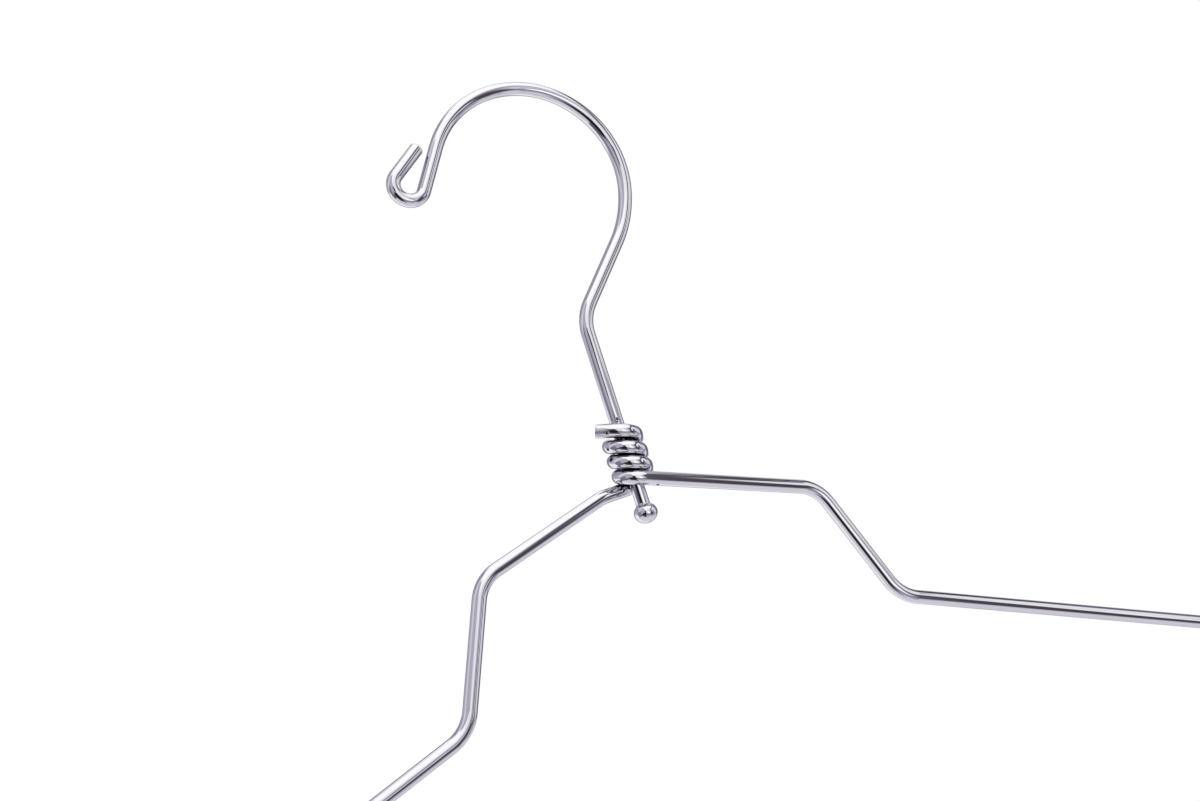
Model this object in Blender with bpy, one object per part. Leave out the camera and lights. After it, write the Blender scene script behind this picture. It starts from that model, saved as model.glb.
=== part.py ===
# Suit hanger bent from round bright wire: a swivel hook with a headed foot, and a notched shoulder
# frame whose one end is wound as a coil round the hook's shank.
# Metres and degrees. +Z up, X along the shoulders, -Y is the front.
# The origin is the highest point of the bow's inside, where a closet rod carries the hook.

import math

import bmesh
import bpy
from mathutils import Matrix, Vector

# Wire
wire_diameter = 0.004
end_chamfer = 0.00035
hook_end_round = 0.0009

# Hook, from the shank's foot upward, as straights and arcs in one upright plane
shank_height = 0.0429
neck_bend_radius = 0.0138
neck_bend_deg = 41.0
neck_length = 0.0227
bow_lower_radius = 0.0347
bow_lower_deg = 24.9
bow_radius = 0.02917
bow_deg = 165.3
tip_drop_length = 0.0144
tip_curl_radius = 0.0045
tip_curl_deg = 198.3
tip_return_length = 0.0113

# Upset head on the shank's foot
head_diameter = 0.0067
head_height = 0.0058
head_drop = 0.0100
head_seat_depth = 0.0008
head_clearance = 0.0003

# Coil of the frame wire round the shank and round the frame's own upturned end
coil_turns = 3
coil_clearance = 0.00049
end_clearance = 0.00035
turn_gap = 0.00044
turned_up_deg = 27.0
coil_lean = 0.0008
coil_rear_lift = 0.0004
coil_tail_length = 0.0096
turned_up_stand = 0.0008

# Shoulder frame, from the coil outward: neck arm, notch leg, shoulder, end, bar
frame_side_shift = 0.0016
neck_arm_reach = 0.0537
neck_arm_drop = 0.0158
notch_reach = 0.0689
notch_drop = 0.0526
shoulder_fall_deg = 19.35
span = 0.4388
end_bend_radius = 0.022
upper_bend_radius = 0.0114
notch_bend_radius = 0.0126
tuck_reach = 0.0100
tuck_depth = 0.0030
tuck_setback = 0.0026
tuck_rise_deg = 7.0
tuck_bend_radius = 0.0042

# Facets
tube_sides = 18
coil_points = 24
bend_step_deg = 9.0

wire_radius = wire_diameter / 2
tau = 2 * math.pi


def turtle(steps, start, heading):
    """Centre line in the XZ plane from straights (length,) and arcs (radius, turn), and its arc centres."""
    here = Vector(start)
    points = [here.copy()]
    centres = []
    for step in steps:
        if len(step) == 1:
            here = here + Vector((math.cos(heading), 0, math.sin(heading))) * step[0]
            points.append(here.copy())
            centres.append(None)
            continue
        radius, turn = step
        side = math.copysign(1, turn)
        centre = here + Vector((-math.sin(heading), 0, math.cos(heading))) * radius * side
        count = max(2, math.ceil(abs(turn) / math.radians(bend_step_deg)))
        for i in range(1, count + 1):
            angle = heading + turn * i / count
            points.append(centre + Vector((math.sin(angle), 0, -math.cos(angle))) * radius * side)
        heading += turn
        here = points[-1].copy()
        centres.append(centre)
    return points, centres


def rounded(corners, radii):
    """The corners joined by straights, each inner corner rounded to its radius."""
    points = [corners[0]]
    for before, corner, after, radius in zip(corners, corners[1:], corners[2:], radii):
        back = (before - corner).normalized()
        ahead = (after - corner).normalized()
        half = back.angle(ahead) / 2
        centre = corner + (back + ahead).normalized() * radius / math.sin(half)
        start = corner + back * radius / math.tan(half) - centre
        end = corner + ahead * radius / math.tan(half) - centre
        turn = start.angle(end)
        count = max(2, math.ceil(turn / math.radians(bend_step_deg)))
        for i in range(count + 1):
            share = i / count
            near = math.sin((1 - share) * turn) * start
            far = math.sin(share * turn) * end
            points.append(centre + (near + far) / math.sin(turn))
    points.append(corners[-1])
    return points


def tube(name, points, radius, rounding, material):
    """A round bar along the points, square at each cut end, with that end's edge rounded off."""
    line = [points[0]]
    for point in points[1:]:
        if (point - line[-1]).length > radius / 50:
            line.append(point)
    stations = [(line[0], radius - rounding[0])]
    stations.append((line[0] + (line[1] - line[0]).normalized() * rounding[0], radius))
    stations += [(point, radius) for point in line[1:-1]]
    stations.append((line[-1] + (line[-2] - line[-1]).normalized() * rounding[1], radius))
    stations.append((line[-1], radius - rounding[1]))
    centres = [station[0] for station in stations]
    mesh = bmesh.new()
    rings = []
    across = None
    for i, (centre, size) in enumerate(stations):
        following = centres[i + 1] if i + 1 < len(centres) else centre
        ahead = (following - centre).normalized()
        behind = (centre - centres[i - 1]).normalized() if i else Vector()
        along = (ahead + behind).normalized()
        if across is None:
            across = along.orthogonal().normalized()
        across = (across - along * across.dot(along)).normalized()
        other = along.cross(across)
        ring = []
        for k in range(tube_sides):
            turn = tau * k / tube_sides
            spoke = across * math.cos(turn) + other * math.sin(turn)
            ring.append(mesh.verts.new(centre + spoke * size))
        rings.append(ring)
    for low, high in zip(rings, rings[1:]):
        for k in range(tube_sides):
            j = (k + 1) % tube_sides
            mesh.faces.new((low[k], low[j], high[j], high[k]))
    mesh.faces.new(list(reversed(rings[0])))
    mesh.faces.new(rings[-1])
    return add_object(name, mesh, material)


def lathe(name, profile, material):
    """A solid of revolution about Z from (radius, height) points that start and end on the axis."""
    mesh = bmesh.new()
    sides = 2 * tube_sides
    rings = []
    for radius, height in profile[1:-1]:
        ring = []
        for k in range(sides):
            turn = tau * k / sides
            ring.append(mesh.verts.new((radius * math.cos(turn), radius * math.sin(turn), height)))
        rings.append(ring)
    first = mesh.verts.new((0, 0, profile[0][1]))
    last = mesh.verts.new((0, 0, profile[-1][1]))
    for k in range(sides):
        j = (k + 1) % sides
        mesh.faces.new((first, rings[0][j], rings[0][k]))
        mesh.faces.new((last, rings[-1][k], rings[-1][j]))
        for low, high in zip(rings, rings[1:]):
            mesh.faces.new((low[k], low[j], high[j], high[k]))
    return add_object(name, mesh, material)


def add_object(name, mesh, material):
    bmesh.ops.recalc_face_normals(mesh, faces=mesh.faces)
    if mesh.calc_volume(signed=True) < 0:
        bmesh.ops.reverse_faces(mesh, faces=mesh.faces)
    data = bpy.data.meshes.new(name)
    mesh.to_mesh(data)
    mesh.free()
    made = bpy.data.objects.new(name, data)
    bpy.context.scene.collection.objects.link(made)
    data.materials.append(material)
    data.shade_smooth()
    data.set_sharp_from_angle(angle=math.radians(40))
    return made


def place(made, pivot):
    """Moves the object's origin to the pivot and keeps its shape where it is."""
    made.data.transform(Matrix.Translation(-pivot))
    made.location = pivot


def steel(name, roughness):
    made = bpy.data.materials.new(name)
    made.use_nodes = True
    shader = made.node_tree.nodes["Principled BSDF"]
    shader.inputs["Base Color"].default_value = (0.62, 0.61, 0.63, 1)
    shader.inputs["Metallic"].default_value = 1.0
    shader.inputs["Roughness"].default_value = roughness
    return made


def clear_scene():
    for made in list(bpy.data.objects):
        bpy.data.objects.remove(made, do_unlink=True)


def hook_line():
    """The hook's centre line with the shank on the Z axis, and the top centre of the bow."""
    foot = -head_drop + head_seat_level() + head_clearance
    steps = [
        (shank_height - foot,),
        (neck_bend_radius, -math.radians(neck_bend_deg)),
        (neck_length,),
        (bow_lower_radius, math.radians(bow_lower_deg)),
        (bow_radius, math.radians(bow_deg)),
        (tip_drop_length,),
        (tip_curl_radius, -math.radians(tip_curl_deg)),
        (tip_return_length,),
    ]
    points, centres = turtle(steps, (0, 0, foot), math.pi / 2)
    return points, centres[4]


def head_mouth_level():
    """Height above the head's centre where its round side meets the socket's wall."""
    share = (wire_radius + head_clearance) / (head_diameter / 2)
    return head_height / 2 * math.sqrt(1 - share**2)


def head_seat_level():
    return head_mouth_level() - head_seat_depth


def head_profile():
    """Flattened ball with a shallow socket on top for the shank's foot."""
    mouth = math.asin(head_mouth_level() / (head_height / 2))
    count = 14
    profile = [(0, -head_height / 2)]
    for i in range(1, count + 1):
        angle = -math.pi / 2 + (mouth + math.pi / 2) * i / count
        profile.append((head_diameter / 2 * math.cos(angle), head_height / 2 * math.sin(angle)))
    profile.append((wire_radius + head_clearance, head_seat_level()))
    profile.append((0, head_seat_level()))
    return profile


def coil_radius():
    return wire_diameter + coil_clearance


def turned_up_centre():
    """Where the frame's upturned end stands beside the shank, inside the coil, seen from above."""
    reach = wire_diameter + end_clearance
    angle = math.radians(turned_up_deg)
    return Vector((math.sin(angle), math.cos(angle), 0)) * reach


def coil_lap():
    return tau * coil_radius() + 2 * turned_up_centre().length


def coil_pitch():
    """Rise per turn that leaves turn_gap between neighbouring turns on their steepest stretch."""
    swell = tau * math.hypot(coil_lean, coil_rear_lift)
    pitch = wire_diameter + turn_gap
    for _ in range(20):
        slope = math.atan((pitch + swell) / coil_lap())
        pitch = (wire_diameter + turn_gap) / math.cos(slope)
    return pitch


def coil_plan(travel):
    """Point seen from above after this travel round the coil, clockwise from the front of the shank."""
    radius = coil_radius()
    far = turned_up_centre()
    axis_angle = math.atan2(far.y, far.x)
    first_arc = -math.pi / 2 - (axis_angle + math.pi / 2) + tau
    travel = travel % coil_lap()
    pieces = (
        ("near", first_arc * radius),
        ("out", far.length),
        ("far", math.pi * radius),
        ("back", far.length),
    )
    for kind, length in pieces:
        if travel <= length:
            break
        travel -= length
    else:
        kind = "rest"
    aim = Vector((math.cos(axis_angle), math.sin(axis_angle), 0))
    left = Vector((-aim.y, aim.x, 0))
    if kind == "near":
        angle = -math.pi / 2 - travel / radius
        return Vector((math.cos(angle), math.sin(angle), 0)) * radius
    if kind == "out":
        return left * radius + aim * travel
    if kind == "far":
        angle = axis_angle + math.pi / 2 - travel / radius
        return far + Vector((math.cos(angle), math.sin(angle), 0)) * radius
    if kind == "back":
        return far - left * radius - aim * travel
    angle = axis_angle - math.pi / 2 - travel / radius
    return Vector((math.cos(angle), math.sin(angle), 0)) * radius


def coil_point(share):
    """Centre line of the coil after this many turns, rising from the height of the neck arms."""
    turn = tau * share
    rise = coil_pitch() * share + coil_lean * math.sin(turn) + coil_rear_lift * (1 - math.cos(turn))
    return coil_plan(share * coil_lap()) + Vector((0, 0, rise))


def tuck_line():
    """The left arm's end: under the coil, round the back of the shank and up beside it inside the coil."""
    reach = wire_diameter + end_clearance
    first = Vector((-tuck_reach, tuck_setback, 0))
    end_angle = math.pi / 2 - math.radians(turned_up_deg)
    touch_angle = math.atan2(first.y, first.x) - math.acos(reach / first.length)
    touch = Vector((math.cos(touch_angle), math.sin(touch_angle), 0)) * reach
    straight = (touch - first).length
    total = straight + reach * (touch_angle - end_angle)

    def at(travel, height):
        if travel <= straight:
            return first.lerp(touch, travel / straight) + Vector((0, 0, height))
        angle = touch_angle - (travel - straight) / reach
        return Vector((math.cos(angle), math.sin(angle), 0)) * reach + Vector((0, 0, height))

    rise = math.radians(tuck_rise_deg)
    bend_start = total - tuck_bend_radius * (1 - math.sin(rise))
    base = bend_start * math.tan(rise) - tuck_depth
    points = []
    count = math.ceil((math.pi / 2 - rise) / math.radians(bend_step_deg))
    for i in range(count + 1):
        angle = rise + (math.pi / 2 - rise) * i / count
        travel = bend_start + tuck_bend_radius * (math.sin(angle) - math.sin(rise))
        points.append(at(travel, base + tuck_bend_radius * (math.cos(rise) - math.cos(angle))))
    top = coil_point(coil_turns).z + wire_radius + turned_up_stand
    points.append(turned_up_centre() + Vector((0, 0, top)))
    return first - Vector((0, 0, tuck_depth)), points


def shoulder_end():
    """(reach, drop) of the corner where shoulder and bar would meet if the end weren't rounded."""
    fall = math.radians(shoulder_fall_deg)
    reach_of_centre = span / 2 - end_bend_radius
    run = reach_of_centre + end_bend_radius * math.sin(fall) - notch_reach
    drop = notch_drop + run * math.tan(fall) + end_bend_radius * (math.cos(fall) + 1)
    corner_run = (drop - notch_drop) / math.tan(fall)
    return notch_reach + corner_run, drop


def frame_line():
    """The frame wire from the coil's cut tail round to its upturned end inside the coil."""
    corner_reach, bar_drop = shoulder_end()
    shift = Vector((frame_side_shift, 0, 0))

    def corner(side, reach, drop):
        return shift + Vector((side * reach, 0, -drop))

    laps = coil_turns * coil_points
    coil = [coil_point(i / coil_points) for i in range(laps, 0, -1)]
    tail_run = (coil_point(coil_turns) - coil_point(coil_turns - 0.1 / coil_points)).normalized()
    tail = [coil[0] + tail_run * coil_tail_length]
    start = coil_point(0)
    dip, tuck = tuck_line()
    right_neck = corner(1, neck_arm_reach, neck_arm_drop)
    entry = start + (right_neck - start).normalized() * wire_radius / 2
    right = rounded(
        [
            entry,
            right_neck,
            corner(1, notch_reach, notch_drop),
            corner(1, corner_reach, bar_drop),
            corner(-1, corner_reach, bar_drop),
            corner(-1, notch_reach, notch_drop),
            corner(-1, neck_arm_reach, neck_arm_drop),
            dip,
            tuck[0],
        ],
        [
            upper_bend_radius,
            notch_bend_radius,
            end_bend_radius,
            end_bend_radius,
            notch_bend_radius,
            upper_bend_radius,
            upper_bend_radius,
        ],
    )
    return tail + coil + [start] + right + tuck[1:]


def least_gap_to_self(points, diameter):
    """Least clear distance between stretches of the wire that are over two diameters apart along it."""
    step = diameter / 8
    fine = [points[0]]
    for point in points[1:]:
        base = fine[-1]
        count = max(1, math.ceil((point - base).length / step))
        fine += [base.lerp(point, i / count) for i in range(1, count + 1)]
    run = [0]
    for a, b in zip(fine, fine[1:]):
        run.append(run[-1] + (b - a).length)
    least = math.inf
    near = [i for i, point in enumerate(fine) if point.xy.length < 6 * diameter]
    for i in near:
        for j in near:
            if run[j] - run[i] > 2.2 * diameter:
                least = min(least, (fine[i] - fine[j]).length)
    return least - diameter


def main():
    clear_scene()
    hook_steel = steel("bright_hook_wire", 0.12)
    frame_steel = steel("bright_frame_wire", 0.12)
    head_steel = steel("headed_foot", 0.16)
    line, bow_centre = hook_line()
    rod_seat = bow_centre + Vector((0, 0, bow_radius - wire_radius))
    shift = -rod_seat

    hook_ends = (end_chamfer, hook_end_round)
    tube("hook_wire", [point + shift for point in line], wire_radius, hook_ends, hook_steel)

    head = lathe("stop_head", head_profile(), head_steel)
    head.location = shift + Vector((0, 0, -head_drop))

    route = frame_line()
    frame_ends = (end_chamfer, end_chamfer)
    frame = tube("frame_wire", [point + shift for point in route], wire_radius, frame_ends, frame_steel)
    place(frame, shift)
    own_gap = least_gap_to_self(route, wire_diameter)
    print("frame wire's least gap to itself, mm:", round(1000 * own_gap, 3))
    print("shank axis x", round(shift.x, 5), "arm level z", round(shift.z, 5))
    print("coil pitch", round(coil_pitch(), 5), "bar level z", round(shift.z - shoulder_end()[1], 5))


main()
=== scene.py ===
import math

import bpy
from mathutils import Euler, Matrix, Vector


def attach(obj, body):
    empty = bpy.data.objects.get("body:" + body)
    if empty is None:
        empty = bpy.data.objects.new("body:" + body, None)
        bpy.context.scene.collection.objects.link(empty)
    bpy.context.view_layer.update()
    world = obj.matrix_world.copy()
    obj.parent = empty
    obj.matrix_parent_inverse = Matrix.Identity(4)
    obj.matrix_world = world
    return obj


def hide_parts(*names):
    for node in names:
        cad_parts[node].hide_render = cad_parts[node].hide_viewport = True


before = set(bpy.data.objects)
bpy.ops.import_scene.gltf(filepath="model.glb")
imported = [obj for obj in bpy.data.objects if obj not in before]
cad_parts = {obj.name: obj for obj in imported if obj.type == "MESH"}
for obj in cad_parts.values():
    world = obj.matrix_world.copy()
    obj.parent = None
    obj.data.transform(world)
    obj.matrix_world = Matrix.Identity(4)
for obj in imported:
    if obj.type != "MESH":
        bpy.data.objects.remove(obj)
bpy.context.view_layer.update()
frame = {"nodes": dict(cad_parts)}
print("solids loaded:", ", ".join(frame["nodes"]))

# Everything is in metres. Z runs up along the hook's shank, X along the shoulders, -Y is the front.
fullTurn = 2 * math.pi
mm = 0.001

wire = {
    "radius": 2.0 * mm,
    "sides": 64,
    "bendStep": 1.5,                   # degrees of bend between two rings
    "shortestStep": 0.01 * mm,         # points that lie closer are taken as one
    "steadyHeading": 0.1,              # a ring on a flat or at a step back keeps the last heading
    "faceRings": (0.02, 0.35, 0.7),    # rings on the flat of a cut end, as shares of its radius
    "sharpFrom": 50,                   # degrees between two faces from which their edge stays sharp
    "mapName": "wireMap",              # metres along the wire, metres round it
}

shank = {
    "axis": Vector((2.6, 0, 0)) * mm,
    "armLevel": -117.49 * mm,          # height where the neck arms meet the shank
}


def hexToLinear(code):
    channels = [int(code[i:i + 2], 16) / 255 for i in (1, 3, 5)]
    linear = [c / 12.92 if c <= 0.04045 else ((c + 0.055) / 1.055) ** 2.4 for c in channels]
    return (*linear, 1.0)


def fillSockets(tree, node, inputs):
    for name, value in inputs.items():
        if isinstance(value, bpy.types.NodeSocket):
            tree.links.new(value, node.inputs[name])
        else:
            node.inputs[name].default_value = value


def addNode(tree, kind, inputs=None, **settings):
    node = tree.nodes.new(kind)
    for name, value in settings.items():
        setattr(node, name, value)
    fillSockets(tree, node, inputs or {})
    return node


def toFrame(point):
    return Vector(point) + shank["axis"] + Vector((0, 0, shank["armLevel"]))


# Camera: stands left of the front and a little low, leaning so that the shank tips left
cameraLook = {
    "place": (-0.19944, -0.40926, -0.17046),
    "turn": (100.048, 17.498, -22.900),
    "lens": 49.5,
    "sensor": 36,
    "clip": (0.01, 50),
}
cameraData = bpy.data.cameras.new("productCamera")
cameraData.lens = cameraLook["lens"]
cameraData.sensor_width = cameraLook["sensor"]
cameraData.clip_start, cameraData.clip_end = cameraLook["clip"]
camera = bpy.data.objects.new("productCamera", cameraData)
camera.location = cameraLook["place"]
camera.rotation_euler = Euler([math.radians(a) for a in cameraLook["turn"]])
bpy.context.scene.collection.objects.link(camera)
bpy.context.scene.camera = camera
bpy.context.scene.view_settings.view_transform = "Standard"
print("camera placed")


# Wire bending in the upright plane: a step is (length,) or (bend radius, degrees to the left)
def walkPath(start, heading, steps):
    here = Vector(start)
    points = [here.copy()]
    for step in steps:
        if len(step) == 1:
            here = here + Vector((math.cos(heading), 0, math.sin(heading))) * step[0]
            points.append(here.copy())
            continue
        radius, turn = step[0], math.radians(step[1])
        side = math.copysign(1, turn)
        centre = here + Vector((-math.sin(heading), 0, math.cos(heading))) * radius * side
        count = max(3, math.ceil(abs(step[1]) / wire["bendStep"]))
        for i in range(1, count + 1):
            angle = heading + turn * i / count
            points.append(centre + Vector((math.sin(angle), 0, -math.cos(angle))) * radius * side)
        heading += turn
        here = points[-1].copy()
    return points


# Straights that meet in corners, each rounded to a bend radius
def roundCorners(corners, radii):
    points = [corners[0]]
    for before, corner, after, radius in zip(corners, corners[1:], corners[2:], radii):
        back = (before - corner).normalized()
        ahead = (after - corner).normalized()
        half = back.angle(ahead) / 2
        centre = corner + (back + ahead).normalized() * radius / math.sin(half)
        start = corner + back * radius / math.tan(half) - centre
        end = corner + ahead * radius / math.tan(half) - centre
        turn = start.angle(end)
        count = max(3, math.ceil(math.degrees(turn) / wire["bendStep"]))
        for i in range(count + 1):
            done, left = turn * i / count, turn * (1 - i / count)
            points.append(centre + (math.sin(left) * start + math.sin(done) * end) / math.sin(turn))
    points.append(corners[-1])
    return points


def cutRings(cut, tip, inward):
    # from the middle of a cut face out over its worn edge: centre, share of the wire's radius, slant
    worn = cut["edge"] / wire["radius"]
    rings = [(0.0, share * (1 - worn)) for share in wire["faceRings"]]
    for i in range(cut["steps"] + 1):
        angle = math.pi / 2 * i / cut["steps"]
        back = cut["edge"] * (1 - math.cos(angle)) * cut["stretch"]
        rings.append((back, 1 - worn * (1 - math.sin(angle))))
    return [(tip + inward * back, share, inward * cut["slant"]) for back, share in rings]


def addTube(name, verts, travel, girth, turned=False):
    # skins the rings, closes both ends, and maps each corner by its way along and round the piece
    sides = wire["sides"]
    last = len(travel) - 1
    faces, places = [], []
    for i in range(last):
        for k in range(sides):
            j = (k + 1) % sides
            faces.append((i * sides + k, i * sides + j, (i + 1) * sides + j, (i + 1) * sides + k))
            low, high = girth * k / sides, girth * (k + 1) / sides
            places += [(travel[i], low), (travel[i], high), (travel[i + 1], high), (travel[i + 1], low)]
    for ring, order in ((0, range(sides - 1, -1, -1)), (last, range(sides))):
        faces.append(tuple(ring * sides + k for k in order))
        places += [(travel[ring], girth * k / sides) for k in order]
    if turned:                         # the lines then run round the piece, not along it
        places = [(around, along) for along, around in places]
    mesh = bpy.data.meshes.new(name)
    mesh.from_pydata([tuple(v) for v in verts], [], faces)
    layer = mesh.uv_layers.new(name=wire["mapName"])
    layer.data.foreach_set("uv", [value for place in places for value in place])
    mesh.shade_smooth()
    mesh.set_sharp_from_angle(angle=math.radians(wire["sharpFrom"]))
    piece = bpy.data.objects.new(name, mesh)
    bpy.context.scene.collection.objects.link(piece)
    return piece


def sweepWire(name, points, startCut, endCut):
    line = [points[0]]
    for point in points[1:]:
        if (point - line[-1]).length > wire["shortestStep"]:
            line.append(point)
    along = (line[1] - line[0]).normalized()
    stations = cutRings(startCut, line[0], along)
    stations += [(point, 1.0, Vector()) for point in line[1:-1]]
    stations += cutRings(endCut, line[-1], (line[-2] - line[-1]).normalized())[::-1]
    sides = wire["sides"]
    verts, travel = [], []
    across, run = along.orthogonal(), 0.0
    for i, (centre, share, slant) in enumerate(stations):
        ahead = stations[i + 1][0] - centre if i + 1 < len(stations) else Vector()
        behind = centre - stations[i - 1][0] if i else Vector()
        run += behind.length
        travel.append(run)
        both = ahead.normalized() + behind.normalized()
        if both.length > wire["steadyHeading"]:
            along = both.normalized()
        across = (across - along * across.dot(along)).normalized()
        other = along.cross(across)
        for k in range(sides):
            turn = fullTurn * k / sides
            spoke = (across * math.cos(turn) + other * math.sin(turn)) * wire["radius"] * share
            verts.append(centre + spoke + slant * spoke.z)
    piece = addTube(name, verts, travel, fullTurn * wire["radius"])

    # the flat of each cut and the inner half of its worn edge show the second material, sheared steel
    startFace = len(wire["faceRings"]) + startCut["steps"] // 2
    endFace = len(stations) - 1 - len(wire["faceRings"]) - endCut["steps"] // 2
    for face in piece.data.polygons:
        rings = [v // sides for v in face.vertices]
        face.material_index = int(max(rings) < startFace or min(rings) > endFace)
    return piece, run


# Hook: shank, neck, bow, drop and curled tip. Bends are (radius, degrees to the left).
hook = {
    "shankHeight": 42.9 * mm,
    "footDepth": 9.0 * mm,             # the shank runs this far under the neck arms, into its head
    "neckBend": (13.8 * mm, -41.4),
    "neckLength": 21.47 * mm,
    "lowerBow": (37.41 * mm, 28.41),
    "nearBow": (28.57 * mm, 91.16),
    "farBow": (29.88 * mm, 70.69),
    "tipDrop": 14.26 * mm,
    "tipCurl": (4.46 * mm, -198.83),
    "tipReturn": 11.3 * mm,
    "footCut": {"edge": 0.2 * mm, "stretch": 1.0, "steps": 2, "slant": 0.0},
    "tipCut": {"edge": 0.8 * mm, "stretch": 0.9, "steps": 8, "slant": 0.0},
}

hookPoints = walkPath((0, 0, -hook["footDepth"]), math.pi / 2, [
    (hook["shankHeight"] + hook["footDepth"],),
    hook["neckBend"],
    (hook["neckLength"],),
    hook["lowerBow"],
    hook["nearBow"],
    hook["farBow"],
    (hook["tipDrop"],),
    hook["tipCurl"],
    (hook["tipReturn"],),
])
hookPiece, hookLength = sweepWire(
    "hookWireBright", [toFrame(p) for p in hookPoints], hook["footCut"], hook["tipCut"])
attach(hookPiece, "hook")
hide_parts("hook_wire")
print("hook bent from", round(hookLength, 3), "m of wire")


# Head upset on the shank's foot: a slightly flattened ball with a small root where the wire enters it
footHead = {
    "level": -9.92 * mm,               # height of its middle over the neck arms' level
    "radius": 3.35 * mm,
    "halfHeight": 2.9 * mm,
    "rootRadius": 2.06 * mm,
    "rootRise": 0.45 * mm,
    "rootInset": 0.04 * mm,            # how far the root draws in as it climbs the wire
    "rings": 40,
    "rootRings": 6,
    "boreGap": 0.01 * mm,              # between the wire and the bore that it enters
    "boreDepth": 0.3 * mm,
    "pole": 0.01 * mm,                 # radius of the smallest ring, which closes each end
}


def headProfile():
    mouth = math.acos(footHead["rootRadius"] / footHead["radius"])
    profile = []
    for i in range(footHead["rings"] + 1):
        angle = -math.pi / 2 + (mouth + math.pi / 2) * i / footHead["rings"]
        radius = max(footHead["radius"] * math.cos(angle), footHead["pole"])
        profile.append((radius, footHead["halfHeight"] * math.sin(angle)))
    topRadius, topHeight = profile[-1]
    for i in range(1, footHead["rootRings"] + 1):
        angle = math.pi / 2 * i / footHead["rootRings"]
        radius = topRadius - footHead["rootInset"] * math.sin(angle)
        profile.append((radius, topHeight + footHead["rootRise"] * (1 - math.cos(angle))))
    bore, floor = wire["radius"] + footHead["boreGap"], topHeight - footHead["boreDepth"]
    return profile + [(bore, profile[-1][1]), (bore, floor), (footHead["pole"], floor)]


def turnedPiece(name, profile, centre):
    verts, travel = [], []
    run, before = 0.0, profile[0]
    for radius, height in profile:
        run += math.hypot(radius - before[0], height - before[1])
        travel.append(run)
        before = (radius, height)
        for k in range(wire["sides"]):
            turn = fullTurn * k / wire["sides"]
            verts.append(centre + Vector((radius * math.cos(turn), radius * math.sin(turn), height)))
    return addTube(name, verts, travel, fullTurn * footHead["radius"], turned=True)


headPiece = turnedPiece("footHeadBright", headProfile(), toFrame((0, 0, footHead["level"])))
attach(headPiece, "stop")
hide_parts("stop_head")
print("foot headed")


# Coil: the frame wire wound three turns round the shank and round the frame's own upturned end
coil = {
    "turns": 3,
    "pitch": 4.44 * mm,
    "level": -0.6 * mm,                # height of the lowest front crossing over the neck arms' level
    "clearance": 0.05 * mm,            # wound tight on the shank
    "endDirection": 25.0,              # degrees from the back of the shank towards its right
    "lean": 0.95 * mm,                 # each turn climbs faster across the front
    "rearLift": 0.45 * mm,
    "topLift": 0.36 * mm,              # the last front crossing lies loose by this on the turn under it
    "liftFrom": 2.55,                  # turns after which it starts to part from that turn
    "liftTo": 2.8,                     # turns after which it has parted
    "tailLength": 8.5 * mm,
    "tailBend": 34.0,                  # degrees the tail still turns while it straightens
    "tailSteps": 16,
    "tailRise": 0.29,                  # climb of the tail for each unit of its run
    "endStand": 0.55 * mm,             # how far the upturned end shows above the top turn
    "pointsPerTurn": 120,
    "cut": {"edge": 0.22 * mm, "stretch": 0.8, "steps": 4, "slant": 0.12},
}
coilRadius = 2 * wire["radius"] + coil["clearance"]
endAngle = math.pi / 2 - math.radians(coil["endDirection"])
endCentre = Vector((math.cos(endAngle), math.sin(endAngle), 0)) * coilRadius
coilLap = fullTurn * coilRadius + 2 * endCentre.length


def roundPoint(centre, angle):
    return centre + Vector((math.cos(angle), math.sin(angle), 0)) * coilRadius


def coilPlan(travel):
    # clockwise from the front: round the shank, out along it, round the upturned end and back
    travel = travel % coilLap
    aim = endCentre.normalized()
    left = Vector((-aim.y, aim.x, 0))
    nearArc = (math.pi - endAngle) * coilRadius
    farArc = math.pi * coilRadius
    if travel <= nearArc:
        return roundPoint(Vector(), -math.pi / 2 - travel / coilRadius)
    travel -= nearArc
    if travel <= endCentre.length:
        return left * coilRadius + aim * travel
    travel -= endCentre.length
    if travel <= farArc:
        return roundPoint(endCentre, endAngle + math.pi / 2 - travel / coilRadius)
    travel -= farArc
    if travel <= endCentre.length:
        return endCentre - left * coilRadius - aim * travel
    travel -= endCentre.length
    return roundPoint(Vector(), endAngle - math.pi / 2 - travel / coilRadius)


def coilPoint(share):
    turn = fullTurn * share
    rise = coil["level"] + coil["pitch"] * share
    rise += coil["lean"] * math.sin(turn) + coil["rearLift"] * (1 - math.cos(turn))
    parted = (share - coil["liftFrom"]) / (coil["liftTo"] - coil["liftFrom"])
    parted = min(max(parted, 0), 1)
    rise += coil["topLift"] * parted * parted * (3 - 2 * parted)
    return coilPlan(share * coilLap) + Vector((0, 0, rise))


def coilTail(start, run):
    # leaves the last turn along its run and bends less and less towards the cut
    run = Vector((run.x, run.y, 0)).normalized() + Vector((0, 0, coil["tailRise"]))
    step = coil["tailLength"] / coil["tailSteps"] / run.length
    points, place = [], start
    for i in range(coil["tailSteps"]):
        straightened = (i + 0.5) / coil["tailSteps"]
        turned = math.radians(coil["tailBend"]) * (1 - (1 - straightened) ** 3)
        place = place + step * (Matrix.Rotation(-turned, 3, "Z") @ run)
        points.append(place)
    return points[::-1]


# Shoulder frame: neck arms, notch legs, shoulders, rounded ends and trouser bar
shoulders = {
    "sideShift": 1.6 * mm,                    # its middle stands this far right of the shank
    "neckCorner": (53.7 * mm, 15.8 * mm),     # reach from that middle, drop
    "notchCorner": (68.9 * mm, 52.6 * mm),
    "fall": 19.35,                            # degrees by which a shoulder falls
    "span": 438.8 * mm,
    "endBend": 22.0 * mm,
    "upperBend": 11.4 * mm,
    "notchBend": 12.6 * mm,
}

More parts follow.
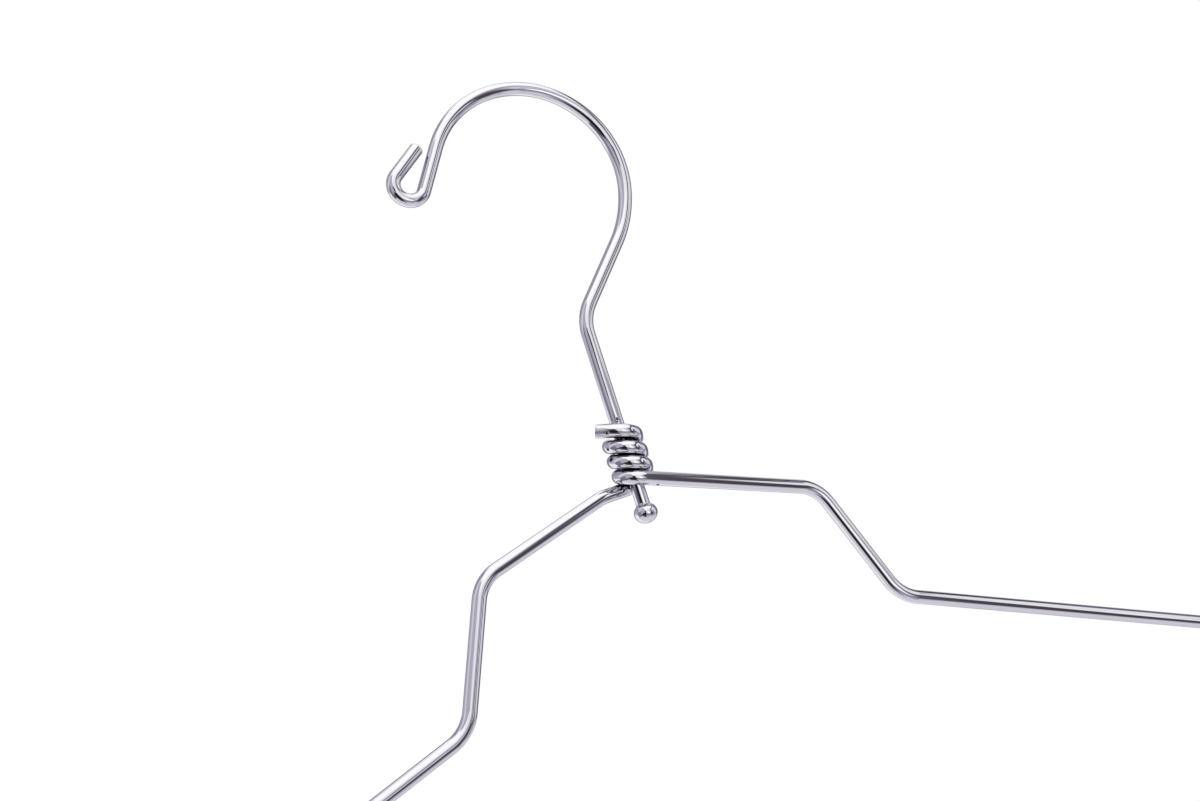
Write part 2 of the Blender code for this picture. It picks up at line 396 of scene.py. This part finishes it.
# The left arm's last stretch, under the coil, round the back of the shank and up inside the coil
tuck = {
    "reach": 10.0 * mm,                # left of the shank, where it leaves the arm
    "depth": 2.4 * mm,                 # and under the arms' level
    "setback": 2.5 * mm,               # and behind the shank's axis
    "climb": 4.4,                      # degrees by which it climbs on its way round
    "climbSteps": 6,
    "bend": 4.0 * mm,                  # radius of the bend that stands it upright
    "bendStep": 3,                     # degrees of that bend between two rings
}


def tuckLine():
    first = Vector((-tuck["reach"], tuck["setback"], 0))
    touchAngle = math.atan2(first.y, first.x) - math.acos(coilRadius / first.length)
    touch = roundPoint(Vector(), touchAngle)
    straight = (touch - first).length
    total = straight + coilRadius * (touchAngle - endAngle)

    def at(travel, height):
        if travel <= straight:
            return first.lerp(touch, travel / straight) + Vector((0, 0, height))
        angle = touchAngle - (travel - straight) / coilRadius
        return roundPoint(Vector(), angle) + Vector((0, 0, height))

    climb = math.radians(tuck["climb"])
    bendStart = total - tuck["bend"] * (1 - math.sin(climb))
    points = []
    for i in range(1, tuck["climbSteps"]):
        travel = bendStart * i / tuck["climbSteps"]
        points.append(at(travel, travel * math.tan(climb) - tuck["depth"]))
    base = bendStart * math.tan(climb) - tuck["depth"]
    count = math.ceil((90 - tuck["climb"]) / tuck["bendStep"])
    for i in range(count + 1):
        angle = climb + (math.pi / 2 - climb) * i / count
        travel = bendStart + tuck["bend"] * (math.sin(angle) - math.sin(climb))
        points.append(at(travel, base + tuck["bend"] * (math.cos(climb) - math.cos(angle))))
    top = coilPoint(coil["turns"]).z + wire["radius"] + coil["endStand"]
    points.append(endCentre + Vector((0, 0, top)))
    return first - Vector((0, 0, tuck["depth"])), points


def frameCorner(side, place):
    return Vector((shoulders["sideShift"] + side * place[0], 0, -place[1]))


def frameLine():
    fall = math.radians(shoulders["fall"])
    reach, drop = shoulders["notchCorner"]
    bend = shoulders["endBend"]
    run = shoulders["span"] / 2 - bend + bend * math.sin(fall) - reach
    barDrop = drop + run * math.tan(fall) + bend * (math.cos(fall) + 1)
    endCorner = (reach + (barDrop - drop) / math.tan(fall), barDrop)
    laps = coil["turns"] * coil["pointsPerTurn"]
    winding = [coilPoint(i / coil["pointsPerTurn"]) for i in range(laps, -1, -1)]
    tail = coilTail(winding[0], winding[0] - winding[1])
    rightNeck = frameCorner(1, shoulders["neckCorner"])
    entry = winding[-1] + (rightNeck - winding[-1]).normalized() * wire["radius"] / 2
    dip, tucked = tuckLine()
    loop = roundCorners(
        [entry, rightNeck, frameCorner(1, shoulders["notchCorner"]), frameCorner(1, endCorner),
         frameCorner(-1, endCorner), frameCorner(-1, shoulders["notchCorner"]),
         frameCorner(-1, shoulders["neckCorner"]), dip, tucked[0]],
        [shoulders["upperBend"], shoulders["notchBend"], bend, bend,
         shoulders["notchBend"], shoulders["upperBend"], shoulders["upperBend"]],
    )
    return tail + winding + loop + tucked[1:]


framePiece, frameLength = sweepWire(
    "frameWireBright", [toFrame(p) for p in frameLine()], coil["cut"], coil["cut"])
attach(framePiece, "frame")
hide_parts("frame_wire")
print("frame bent and wound from", round(frameLength, 3), "m of wire")


# Material: stainless steel wire, bright drawn through a round die and then barrel polished.
# The eye gets mirror-like reflections, slightly broken by fine lines that run along the wire.
brightStainless = {
    "colour": "#D5D4D8",
    "edge": "#DCD9E5",       # it reflects less, and a little violet, where it is seen nearly edge on
    "roughness": 0.02,
    "lineWidth": 0.22,       # mm between drawing lines; real ones are finer, drawn this coarse to show
    "lineLength": 60.0,      # mm
    "lineHeight": 0.0002,    # mm
}

# Painted shade in the grooves between two turns: the steel's colour darkens where a neighbouring turn
# closes it in, standing for the shade and dark reflections there.
# The eye gets thin black seams with a brownish border, fuller on the left, and none under the coil.
seamPaintedShade = {
    "reach": 2.6,                      # mm: how far off a neighbouring turn still shades the steel
    "samples": 32,
    "shades": ("#0A080A", "#8D8280"),  # black, browned
    "open": (0.08, 0.20, 0.40),        # shares of open sky where it is black, browned and gone
    "across": (-1.0, 3.0),             # mm across the coil over which the grooves get less full
    "left": 0.5,                       # share of the open sky that counts on the full side
    "base": (-117.8, -116.4),          # mm of height over which it starts
}

# Wear: dents of the winding tool round the coil, dulled patches where it gripped, and a few nicks.
# The eye gets wavering reflections there, small grey patches and smaller dark marks.
coilWear = {
    "middle": (2.6, 1.5, -111.0),      # mm
    "reach": (9.0, 12.0),              # mm: full inside the first, gone past the second
    "waveSize": 2.4,                   # mm
    "waveHeight": 0.007,               # mm
    "markRagged": 0.8,                 # share of a mark's size by which its edge wanders
    "markSoft": 0.2,                   # share of a mark's size over which its edge fades, each way
    "markWander": 0.7,                 # mm between two turns of that edge
}
dulled = {"colour": "#DEDBE2", "roughness": 0.42, "depth": 0.008}    # depth in mm
nicked = {"colour": "#3B373C", "roughness": 0.3, "depth": 0.03}
frameDulled = [              # middle and size of each patch, mm
    ((-4.9, -3.0, -102.9), 1.3),
    ((-3.2, -3.9, -103.9), 0.8),
    ((-3.2, 0.2, -106.5), 0.9),
    ((-3.0, -0.9, -111.2), 0.9),
    ((-2.9, 1.0, -114.8), 1.0),
]
frameNicks = [
    ((6.7, -4.3, -121.2), 0.42),
    ((-3.0, -0.9, -110.7), 0.8),
    ((-3.2, -1.4, -107.9), 0.5),
    ((-3.2, -3.9, -103.8), 0.35),
    ((-5.0, -2.6, -104.2), 0.4),
]
hookNicks = [((2.1, -1.9, -100.1), 0.42), ((1.9, -1.9, -101.0), 0.3)]


# A colour mix has its colours in sockets 6 and 7 and its result in socket 2
# painted shade: the steel's colour goes black, then browned, where ambient occlusion finds a
# neighbouring turn close
def paintedSeamShadeColour(tree, where, clean):
    shut = addNode(tree, "ShaderNodeAmbientOcclusion", {
        "Distance": seamPaintedShade["reach"] * mm,
    }, samples=seamPaintedShade["samples"])
    split = addNode(tree, "ShaderNodeSeparateXYZ", {"Vector": where})
    left, right = seamPaintedShade["across"]
    lower, upper = seamPaintedShade["base"]
    across = addNode(tree, "ShaderNodeMapRange", {
        "Value": split.outputs["X"], "From Min": left * mm, "From Max": right * mm,
        "To Min": seamPaintedShade["left"],
    }, interpolation_type="SMOOTHSTEP")
    under = addNode(tree, "ShaderNodeMapRange", {
        "Value": split.outputs["Z"], "From Min": upper * mm, "From Max": lower * mm,
    }, interpolation_type="SMOOTHSTEP")
    counted = addNode(tree, "ShaderNodeMath", {
        0: across.outputs["Result"], 1: under.outputs["Result"],
    }, operation="MAXIMUM")
    openSky = addNode(tree, "ShaderNodeMath", {
        0: shut.outputs["AO"], 1: counted.outputs["Value"],
    }, operation="MULTIPLY")
    black, brown = seamPaintedShade["shades"]
    colour = hexToLinear(black)
    for start, end, shade in zip(seamPaintedShade["open"], seamPaintedShade["open"][1:], (brown, clean)):
        share = addNode(tree, "ShaderNodeMapRange", {
            "Value": openSky.outputs["Value"], "From Min": start, "From Max": end,
        }, interpolation_type="SMOOTHSTEP")
        colour = addNode(tree, "ShaderNodeMix", {
            0: share.outputs["Result"], 6: colour, 7: hexToLinear(shade),
        }, data_type="RGBA").outputs[2]
    return colour


def wornMask(tree, where, marks):
    # 1 inside a mark, 0 on sound steel; the edges wander with a fine noise
    ragged, soft = coilWear["markRagged"], coilWear["markSoft"]
    wander = addNode(tree, "ShaderNodeTexNoise", {
        "Vector": where, "Scale": 1000 / coilWear["markWander"], "Detail": 2.0,
    })
    mask = 0.0
    for middle, size in marks:
        gap = addNode(tree, "ShaderNodeVectorMath", {
            0: where, 1: [c * mm for c in middle],
        }, operation="DISTANCE")
        frayed = addNode(tree, "ShaderNodeMath", {
            0: wander.outputs["Fac"], 1: 2 * ragged * size * mm, 2: gap.outputs["Value"],
        }, operation="MULTIPLY_ADD")
        inside = addNode(tree, "ShaderNodeMapRange", {
            "Value": frayed.outputs["Value"],
            "From Min": (1 + soft + ragged) * size * mm, "From Max": (1 - soft + ragged) * size * mm,
        }, interpolation_type="SMOOTHSTEP")
        mask = addNode(tree, "ShaderNodeMath", {
            0: mask, 1: inside.outputs["Result"],
        }, operation="MAXIMUM").outputs["Value"]
    return mask


def makeStainless(name, look, wear):
    steel = bpy.data.materials.new(name)
    steel.use_nodes = True
    tree = steel.node_tree
    where = addNode(tree, "ShaderNodeTexCoord").outputs["Object"]

    # drawing lines
    place = addNode(tree, "ShaderNodeUVMap", uv_map=wire["mapName"])
    scale = (1000 / look["lineLength"], 1000 / look["lineWidth"], 1)
    scaled = addNode(tree, "ShaderNodeMapping", {"Vector": place.outputs["UV"], "Scale": scale})
    drawn = addNode(tree, "ShaderNodeTexNoise", {
        "Vector": scaled.outputs["Vector"], "Scale": 1.0, "Detail": 2.0,
    }, noise_dimensions="2D")
    normal = addNode(tree, "ShaderNodeBump", {
        "Height": drawn.outputs["Fac"], "Strength": 1.0, "Distance": look["lineHeight"] * mm,
    }).outputs["Normal"]

    # dents of the winding tool
    apart = addNode(tree, "ShaderNodeVectorMath", {
        0: where, 1: [c * mm for c in coilWear["middle"]],
    }, operation="DISTANCE")
    near, far = coilWear["reach"]
    zone = addNode(tree, "ShaderNodeMapRange", {
        "Value": apart.outputs["Value"], "From Min": far * mm, "From Max": near * mm,
    }, interpolation_type="SMOOTHSTEP")
    waves = addNode(tree, "ShaderNodeTexNoise", {
        "Vector": where, "Scale": 1000 / coilWear["waveSize"], "Detail": 1.0,
    })
    normal = addNode(tree, "ShaderNodeBump", {
        "Height": waves.outputs["Fac"], "Strength": zone.outputs["Result"],
        "Distance": coilWear["waveHeight"] * mm, "Normal": normal,
    }).outputs["Normal"]

    # dulled patches and nicks, over the steel and its painted seam shade
    colour, rough = paintedSeamShadeColour(tree, where, look["colour"]), look["roughness"]
    for mark, places in wear:
        worn = wornMask(tree, where, places)
        normal = addNode(tree, "ShaderNodeBump", {
            "Height": worn, "Strength": 1.0, "Distance": mark["depth"] * mm, "Normal": normal,
        }, invert=True).outputs["Normal"]
        colour = addNode(tree, "ShaderNodeMix", {
            0: worn, 6: colour, 7: hexToLinear(mark["colour"]),
        }, data_type="RGBA").outputs[2]
        rough = addNode(tree, "ShaderNodeMix", {
            "Factor": worn, "A": rough, "B": mark["roughness"],
        }).outputs["Result"]

    fillSockets(tree, tree.nodes["Principled BSDF"], {
        "Base Color": colour, "Metallic": 1.0, "Roughness": rough,
        "Specular Tint": hexToLinear(look["edge"]), "Normal": normal,
    })
    return steel


# Sheared wire end: stainless steel cropped with cutters, a dull torn grain with no mirror left.
# The eye gets a plain grey disc.
shearedEnd = {
    "colour": "#D2D0D6",
    "roughness": 0.38,
    "grain": 0.6,            # mm across a torn grain, drawn this coarse to show
    "grainHeight": 0.02,     # mm
}


def makeSheared(name, look):
    steel = bpy.data.materials.new(name)
    steel.use_nodes = True
    tree = steel.node_tree
    grain = addNode(tree, "ShaderNodeTexNoise", {
        "Vector": addNode(tree, "ShaderNodeTexCoord").outputs["Object"],
        "Scale": 1000 / look["grain"], "Detail": 3.0,
    })
    torn = addNode(tree, "ShaderNodeBump", {
        "Height": grain.outputs["Fac"], "Strength": 1.0, "Distance": look["grainHeight"] * mm,
    })
    fillSockets(tree, tree.nodes["Principled BSDF"], {
        "Base Color": hexToLinear(look["colour"]), "Metallic": 1.0, "Roughness": look["roughness"],
        "Normal": torn.outputs["Normal"],
    })
    return steel


for piece, name, wear in (
    (hookPiece, "drawnStainlessHook", [(nicked, hookNicks)]),
    (headPiece, "upsetStainlessHead", []),
    (framePiece, "drawnStainlessFrame", [(dulled, frameDulled), (nicked, frameNicks)]),
):
    piece.data.materials.append(makeStainless(name, brightStainless, wear))
for piece in (hookPiece, framePiece):
    piece.data.materials.append(makeSheared("shearedStainlessEnd", shearedEnd))
print("steel polished")


# Studio: a pale floor far below, white paper all round, and the panels and gaps that the steel mirrors
floorLook = {
    "size": 8.0,
    "level": -1.6,
    "colour": "#FAFAFB",
    "roughness": 0.9,
    "glow": 0.9,             # share of its own plain colour in what is seen; the rest takes the shadow
}


def layFloor():
    half = floorLook["size"] / 2
    corners = [(-half, -half, 0), (half, -half, 0), (half, half, 0), (-half, half, 0)]
    mesh = bpy.data.meshes.new("studioFloor")
    mesh.from_pydata(corners, [], [(0, 1, 2, 3)])
    floor = bpy.data.objects.new("studioFloor", mesh)
    floor.location.z = floorLook["level"]
    bpy.context.scene.collection.objects.link(floor)
    paper = bpy.data.materials.new("whiteFloorPaper")
    paper.use_nodes = True
    tree = paper.node_tree
    colour = hexToLinear(floorLook["colour"])
    shader = tree.nodes["Principled BSDF"]
    fillSockets(tree, shader, {"Base Color": colour, "Roughness": floorLook["roughness"]})
    rays = addNode(tree, "ShaderNodeLightPath")
    glow = addNode(tree, "ShaderNodeEmission", {"Color": colour, "Strength": 1.0})
    seen = addNode(tree, "ShaderNodeMath", {
        0: rays.outputs["Is Camera Ray"], 1: floorLook["glow"],
    }, operation="MULTIPLY")
    mixed = addNode(tree, "ShaderNodeMixShader", {
        0: seen.outputs["Value"], 1: shader.outputs["BSDF"], 2: glow.outputs["Emission"],
    })
    fillSockets(tree, tree.nodes["Material Output"], {"Surface": mixed.outputs["Shader"]})
    mesh.materials.append(paper)
    floor.visible_glossy = False    # the steel mirrors the panels below it, not the bare floor


# Each panel: name, azimuth (0 behind the hanger, 90 right, 180 front) and elevation of its middle,
# half width, half height, soft edge and tilt, all in degrees, and its brightness.
# A later one hangs in front of an earlier one.
panels = [
    ("back wall", -32.8, 4.7, 60.3, 53.3, 3.0, 9.5, 1.24),
    ("left wall", -84.0, 32.6, 68.8, 36.8, 10.4, -14.0, 0.67),
    ("left shelf", -88.4, -6.2, 19.9, 29.0, 5.7, 15.0, 0.34),
    ("left cornice", -34.1, 50.2, 48.4, 17.6, 4.8, 13.0, 0.53),
    ("right window", 80.0, 33.9, 24.3, 14.2, 9.1, 14.8, 0.23),
    ("right wall", 60.9, 2.4, 22.4, 21.0, 7.9, 0.8, 0.26),
    ("ceiling edge", 62.8, 42.0, 58.1, 5.7, 8.0, 4.1, 0.01),
    ("right rail", 138.9, 21.4, 27.0, 4.1, 2.7, 35.2, 0.14),
    ("right stand", 138.8, -26.3, 26.8, 22.6, 6.6, -20.7, 0.10),
    ("white card", 174.7, -25.6, 11.8, 26.2, 7.9, -37.0, 1.50),
    ("table top", -167.1, -39.9, 39.1, 17.1, 10.2, -10.2, 0.36),
    ("dark gap", -120.1, -27.4, 32.2, 18.8, 4.4, 14.5, 0.18),
    ("dark core", -139.9, -27.6, 15.0, 22.9, 10.8, -13.1, 0.01),
    ("front slot", -159.3, 5.6, 13.1, 7.3, 3.7, -15.4, 0.07),
    ("table light", -79.6, -41.9, 34.5, 11.6, 2.1, 1.6, 0.95),
    ("right post", 147.1, 11.2, 8.4, 12.3, 1.6, -17.9, 0.13),
    ("right foot", 105.5, -30.2, 20.3, 10.0, 2.4, 6.5, 0.53),
    ("right card", 128.7, -0.3, 13.2, 12.0, 3.0, 4.0, 1.22),
    ("front veil", 158.2, 1.5, 3.6, 26.1, 11.2, 30.2, 1.06),
    ("front card", -171.3, 4.9, 13.9, 8.0, 1.6, 29.8, 1.22),
    ("upper slit", 105.0, 29.1, 14.9, 10.8, 3.5, -54.4, 0.82),
    ("table band", -176.1, -49.3, 73.8, 5.0, 13.0, 0.1, 0.73),
    ("upper bar", 63.6, 52.9, 11.6, 12.0, 1.3, 25.3, 1.11),
    ("small post", 128.5, -2.1, 6.0, 9.2, 3.7, 25.5, 0.05),
    ("table gap", -132.2, -42.5, 17.4, 15.0, 1.2, -50.2, 0.10),
    ("right line", 122.5, -8.9, 7.5, 3.0, 5.4, 48.0, 0.62),
    ("left lamp", -92.9, 52.5, 24.1, 26.7, 4.8, 42.7, 0.95),
    ("back paper", 7.9, 3.1, 24.9, 20.8, 11.8, 25.4, 0.42),
    ("lens opening", -151.0, -14.0, 9.0, 13.0, 6.0, 0.0, 0.02),
    ("rail line", 110.5, 40.2, 7.0, 2.4, 2.0, 42.0, 0.00),
    ("slot line", -153.5, 10.0, 6.5, 8.0, 3.0, 0.0, 0.00),
]
studio = {
    "below": 0.97,           # brightness of the bare room low down
    "above": 1.48,           # and high up
    "rise": (2.6, 44.8),     # degrees of elevation over which it brightens
    "paper": "#FFFFFF",
    "shade": "#E6E3FF",      # grey card and shadow read a little violet
    "umber": "#FFE6E2",      # and the dark ends of the room a little brown
    "paperLevels": (0.2, 1.3),     # brightness from which the violet fades, and where it is gone
    "umberLevels": (0.22, 0.05),   # brightness from which the brown comes in, and where it is full
    "diffuse": 0.95,         # level of the room on matt things
}


def softBand(tree, value, halfSize, edge):
    # 1 within half the panel's size of its middle, 0 outside, with a soft edge
    size = addNode(tree, "ShaderNodeMath", {0: value}, operation="ABSOLUTE")
    outer, inner = math.radians(halfSize + edge / 2), math.radians(halfSize - edge / 2)
    band = addNode(tree, "ShaderNodeMapRange", {
        "Value": size.outputs["Value"], "From Min": outer, "From Max": inner,
    }, interpolation_type="SMOOTHSTEP")
    return band.outputs["Result"]


def lightStudio():
    world = bpy.data.worlds.new("whiteStudio")
    bpy.context.scene.world = world
    world.use_nodes = True
    tree = world.node_tree
    tree.nodes.clear()
    where = addNode(tree, "ShaderNodeTexCoord")
    split = addNode(tree, "ShaderNodeSeparateXYZ", {"Vector": where.outputs["Generated"]})
    azimuth = addNode(tree, "ShaderNodeMath", {
        0: split.outputs["X"], 1: split.outputs["Y"],
    }, operation="ARCTAN2")
    elevation = addNode(tree, "ShaderNodeMath", {0: split.outputs["Z"]}, operation="ARCSINE")
    low, high = (math.radians(angle) for angle in studio["rise"])
    level = addNode(tree, "ShaderNodeMapRange", {
        "Value": elevation.outputs["Value"], "From Min": low, "From Max": high,
        "To Min": studio["below"], "To Max": studio["above"],
    }, interpolation_type="SMOOTHSTEP").outputs["Result"]
    for _, panelAzimuth, panelElevation, halfWide, halfHigh, edge, tilt, light in panels:
        aside = addNode(tree, "ShaderNodeMath", {
            0: azimuth.outputs["Value"], 1: math.radians(panelAzimuth),
        }, operation="SUBTRACT")
        wrapped = addNode(tree, "ShaderNodeMath", {
            0: aside.outputs["Value"], 1: math.pi, 2: -math.pi,
        }, operation="WRAP")
        above = addNode(tree, "ShaderNodeMath", {
            0: elevation.outputs["Value"], 1: math.radians(panelElevation),
        }, operation="SUBTRACT")
        tilted = addNode(tree, "ShaderNodeMath", {
            0: wrapped.outputs["Value"], 1: math.tan(math.radians(tilt)), 2: above.outputs["Value"],
        }, operation="MULTIPLY_ADD")
        mask = addNode(tree, "ShaderNodeMath", {
            0: softBand(tree, wrapped.outputs["Value"], halfWide, edge),
            1: softBand(tree, tilted.outputs["Value"], halfHigh, edge),
        }, operation="MULTIPLY")
        level = addNode(tree, "ShaderNodeMix", {
            "Factor": mask.outputs["Value"], "A": level, "B": light,
        }).outputs["Result"]

    tint = hexToLinear(studio["shade"])
    for levels, shade in (("paperLevels", "paper"), ("umberLevels", "umber")):
        start, end = studio[levels]
        share = addNode(tree, "ShaderNodeMapRange", {
            "Value": level, "From Min": start, "From Max": end,
        })
        tint = addNode(tree, "ShaderNodeMix", {
            0: share.outputs["Result"], 6: tint, 7: hexToLinear(studio[shade]),
        }, data_type="RGBA").outputs[2]

    # the steel mirrors the panels, matt things get the plain room, and the camera sees white
    mirrored = addNode(tree, "ShaderNodeBackground", {"Color": tint, "Strength": level})
    paper = hexToLinear(studio["paper"])
    room = addNode(tree, "ShaderNodeBackground", {"Color": paper, "Strength": studio["diffuse"]})
    white = addNode(tree, "ShaderNodeBackground", {"Color": paper, "Strength": 1.0})
    path = addNode(tree, "ShaderNodeLightPath")
    lit = addNode(tree, "ShaderNodeMixShader", {
        0: path.outputs["Is Glossy Ray"],
        1: room.outputs["Background"], 2: mirrored.outputs["Background"],
    })
    shown = addNode(tree, "ShaderNodeMixShader", {
        0: path.outputs["Is Camera Ray"],
        1: lit.outputs["Shader"], 2: white.outputs["Background"],
    })
    addNode(tree, "ShaderNodeOutputWorld", {"Surface": shown.outputs["Shader"]})


layFloor()
lightStudio()
print("studio lit")
